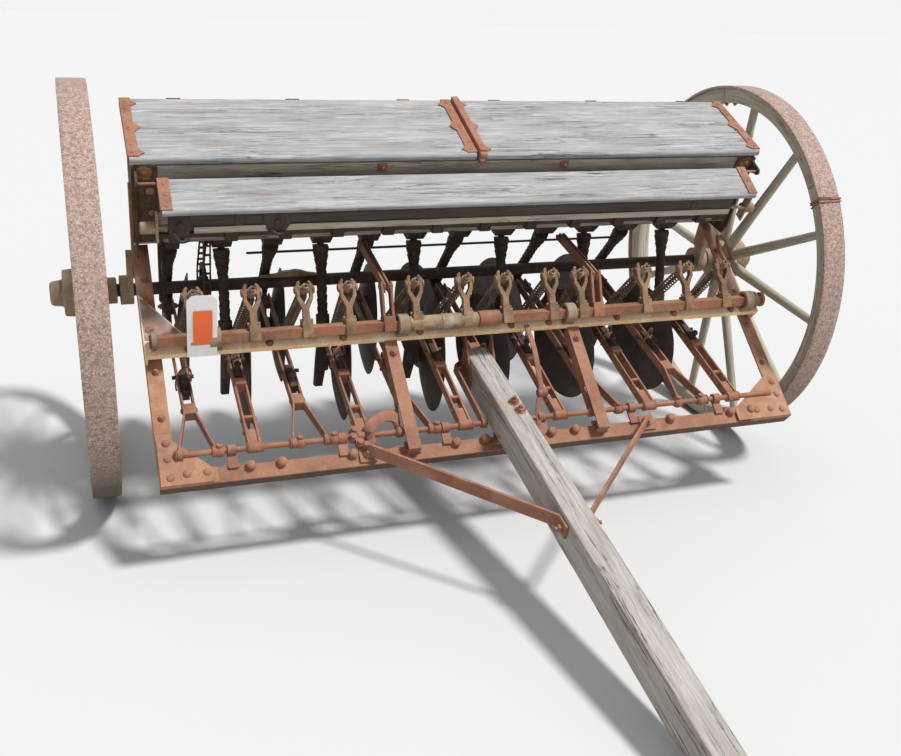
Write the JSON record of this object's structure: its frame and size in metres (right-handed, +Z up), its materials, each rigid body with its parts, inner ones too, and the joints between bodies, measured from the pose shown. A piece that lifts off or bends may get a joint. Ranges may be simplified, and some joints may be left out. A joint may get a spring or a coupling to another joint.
{
  "type": "seed drill",
  "caption": "Old horse-drawn grain drill with wooden spoked wheels, weathered seed box with lids, disc openers on drag bars and a wooden pole, parked on its pole",
  "frame": {"origin": "on the ground under the middle of the machine's overall box", "axes": "+X to the machine's left seen from the front, which is the right of the picture, -Y forwards along the pole, +Z up; the machine stands on its two wheels and the tip of its pole"},
  "size_m": [2.414, 2.4711, 1.2198],
  "materials": {
    "rusty_iron": "rusted, worn paint gone",
    "dark_iron": "dark rust",
    "drab_iron": "dull brown oxide",
    "grey_boards": "weathered bare boards",
    "wheel_wood": "weathered hardwood",
    "tyre_steel": "dull rusted steel"
  },
  "bodies": {
    "frame": {"side_rails": "rusty_iron", "front_bar": "rusty_iron", "cross_bar": "drab_iron", "beams": "rusty_iron", "pole": "grey_boards", "pole_irons": "rusty_iron", "braces": "rusty_iron", "axle": "dark_iron", "axle_boxes": "drab_iron", "box_ends": "dark_iron", "box_front_board": "grey_boards", "box_back_board": "grey_boards", "box_floor": "grey_boards", "box_divider": "grey_boards", "lid_hinges": "rusty_iron", "seed_box": "grey_boards", "seed_feed": "drab_iron", "feed_cups": "dark_iron", "feed_shaft": "dark_iron", "seed_tubes": "dark_iron", "chain_wheels": "dark_iron", "drive_chain": "dark_iron", "hinge_rods": "rusty_iron", "drag_bars_long": "rusty_iron", "drag_bars_short": "rusty_iron", "boots": "dark_iron", "rock_shaft": "rusty_iron", "shaft_bearings": "drab_iron", "pressure_arms": "drab_iron", "pressure_springs": "dark_iron", "lift_links": "rusty_iron"},
    "wheel_left": {"wheel_left_tyre": "tyre_steel", "wheel_left_wood": "wheel_wood", "wheel_left_hub": "drab_iron"},
    "wheel_right": {"wheel_right_tyre": "tyre_steel", "wheel_right_wood": "wheel_wood", "wheel_right_hub": "drab_iron"},
    "lid_left": {"lid_left_boards": "grey_boards", "lid_left_irons": "rusty_iron"},
    "lid_right": {"lid_right_boards": "grey_boards", "lid_right_irons": "rusty_iron"},
    "lid_front": {"lid_front_board": "grey_boards", "lid_front_irons": "rusty_iron"},
    "disc_01": {"disc_01": "dark_iron"},
    "disc_02": {"disc_02": "dark_iron"},
    "disc_03": {"disc_03": "dark_iron"},
    "disc_04": {"disc_04": "dark_iron"},
    "disc_05": {"disc_05": "dark_iron"},
    "disc_06": {"disc_06": "dark_iron"},
    "disc_07": {"disc_07": "dark_iron"},
    "disc_08": {"disc_08": "dark_iron"},
    "disc_09": {"disc_09": "dark_iron"},
    "disc_10": {"disc_10": "dark_iron"},
    "disc_11": {"disc_11": "dark_iron"},
    "disc_12": {"disc_12": "dark_iron"}
  },
  "joints": [
    {"name": "wheel_left_turn", "type": "hinge", "parent": "frame", "child": "wheel_left", "pos_m": [-1.099, 0.62558, 0.61], "axis": [1, 0, 0], "continuous": true},
    {"name": "wheel_right_turn", "type": "hinge", "parent": "frame", "child": "wheel_right", "pos_m": [1.099, 0.62558, 0.61], "axis": [1, 0, 0], "continuous": true},
    {"name": "lid_left_hinge", "type": "hinge", "parent": "frame", "child": "lid_left", "pos_m": [-0.49, 0.60581, 1.16024], "axis": [-1, 0, 0], "range_deg": [0, 115]},
    {"name": "lid_right_hinge", "type": "hinge", "parent": "frame", "child": "lid_right", "pos_m": [0.49, 0.60581, 1.16024], "axis": [-1, 0, 0], "range_deg": [0, 115]},
    {"name": "lid_front_hinge", "type": "hinge", "parent": "frame", "child": "lid_front", "pos_m": [0, 0.30538, 0.9849], "axis": [-1, 0, 0], "range_deg": [0, 100]},
    {"name": "disc_01_turn", "type": "hinge", "parent": "frame", "child": "disc_01", "pos_m": [-0.8303, 0.74794, 0.42739], "axis": [0.9925, -0.1182, -0.0295], "continuous": true},
    {"name": "disc_02_turn", "type": "hinge", "parent": "frame", "child": "disc_02", "pos_m": [-0.6803, 0.50397, 0.37438], "axis": [0.9925, -0.1182, -0.0295], "continuous": true},
    {"name": "disc_03_turn", "type": "hinge", "parent": "frame", "child": "disc_03", "pos_m": [-0.5303, 0.74794, 0.42739], "axis": [0.9925, -0.1182, -0.0295], "continuous": true},
    {"name": "disc_04_turn", "type": "hinge", "parent": "frame", "child": "disc_04", "pos_m": [-0.3803, 0.50397, 0.37438], "axis": [0.9925, -0.1182, -0.0295], "continuous": true},
    {"name": "disc_05_turn", "type": "hinge", "parent": "frame", "child": "disc_05", "pos_m": [-0.2303, 0.74794, 0.42739], "axis": [0.9925, -0.1182, -0.0295], "continuous": true},
    {"name": "disc_06_turn", "type": "hinge", "parent": "frame", "child": "disc_06", "pos_m": [-0.0803, 0.50397, 0.37438], "axis": [0.9925, -0.1182, -0.0295], "continuous": true},
    {"name": "disc_07_turn", "type": "hinge", "parent": "frame", "child": "disc_07", "pos_m": [-0.0097, 0.74794, 0.42739], "axis": [-0.9925, -0.1182, -0.0295], "continuous": true},
    {"name": "disc_08_turn", "type": "hinge", "parent": "frame", "child": "disc_08", "pos_m": [0.1403, 0.50397, 0.37438], "axis": [-0.9925, -0.1182, -0.0295], "continuous": true},
    {"name": "disc_09_turn", "type": "hinge", "parent": "frame", "child": "disc_09", "pos_m": [0.2903, 0.74794, 0.42739], "axis": [-0.9925, -0.1182, -0.0295], "continuous": true},
    {"name": "disc_10_turn", "type": "hinge", "parent": "frame", "child": "disc_10", "pos_m": [0.4403, 0.50397, 0.37438], "axis": [-0.9925, -0.1182, -0.0295], "continuous": true},
    {"name": "disc_11_turn", "type": "hinge", "parent": "frame", "child": "disc_11", "pos_m": [0.5903, 0.74794, 0.42739], "axis": [-0.9925, -0.1182, -0.0295], "continuous": true},
    {"name": "disc_12_turn", "type": "hinge", "parent": "frame", "child": "disc_12", "pos_m": [0.7403, 0.50397, 0.37438], "axis": [-0.9925, -0.1182, -0.0295], "continuous": true}
  ]
}
